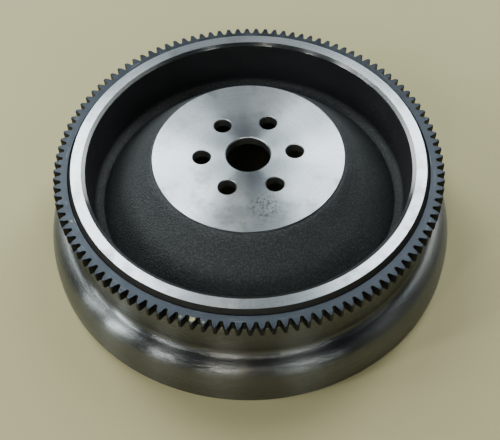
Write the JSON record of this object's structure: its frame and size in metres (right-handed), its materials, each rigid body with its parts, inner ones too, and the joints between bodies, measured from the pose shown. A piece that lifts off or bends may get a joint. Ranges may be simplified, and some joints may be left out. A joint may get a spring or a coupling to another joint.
{
  "type": "flywheel",
  "caption": "Pot flywheel: a flared iron casting with a raised bolting pad inside a deep trough and a steel ring gear shrunk onto its rim.",
  "frame": {"origin": "centre of the clutch seat, the ring-shaped plane that the part stands on", "axes": "+Z along the crankshaft axis, from the clutch side up to the crankshaft pad; +X 2.9 degrees short of the first crankshaft bolt hole"},
  "size_m": [0.321, 0.321, 0.0864],
  "materials": {
    "turned_iron": "satin, turned outside and faced on the pad and rim, as cast in the trough",
    "gear_steel": "blue-grey heat-treated steel, dark in the tooth gaps"
  },
  "bodies": {
    "root": {"flywheel_casting": "turned_iron", "ring_gear": "gear_steel"}
  },
  "joints": []
}
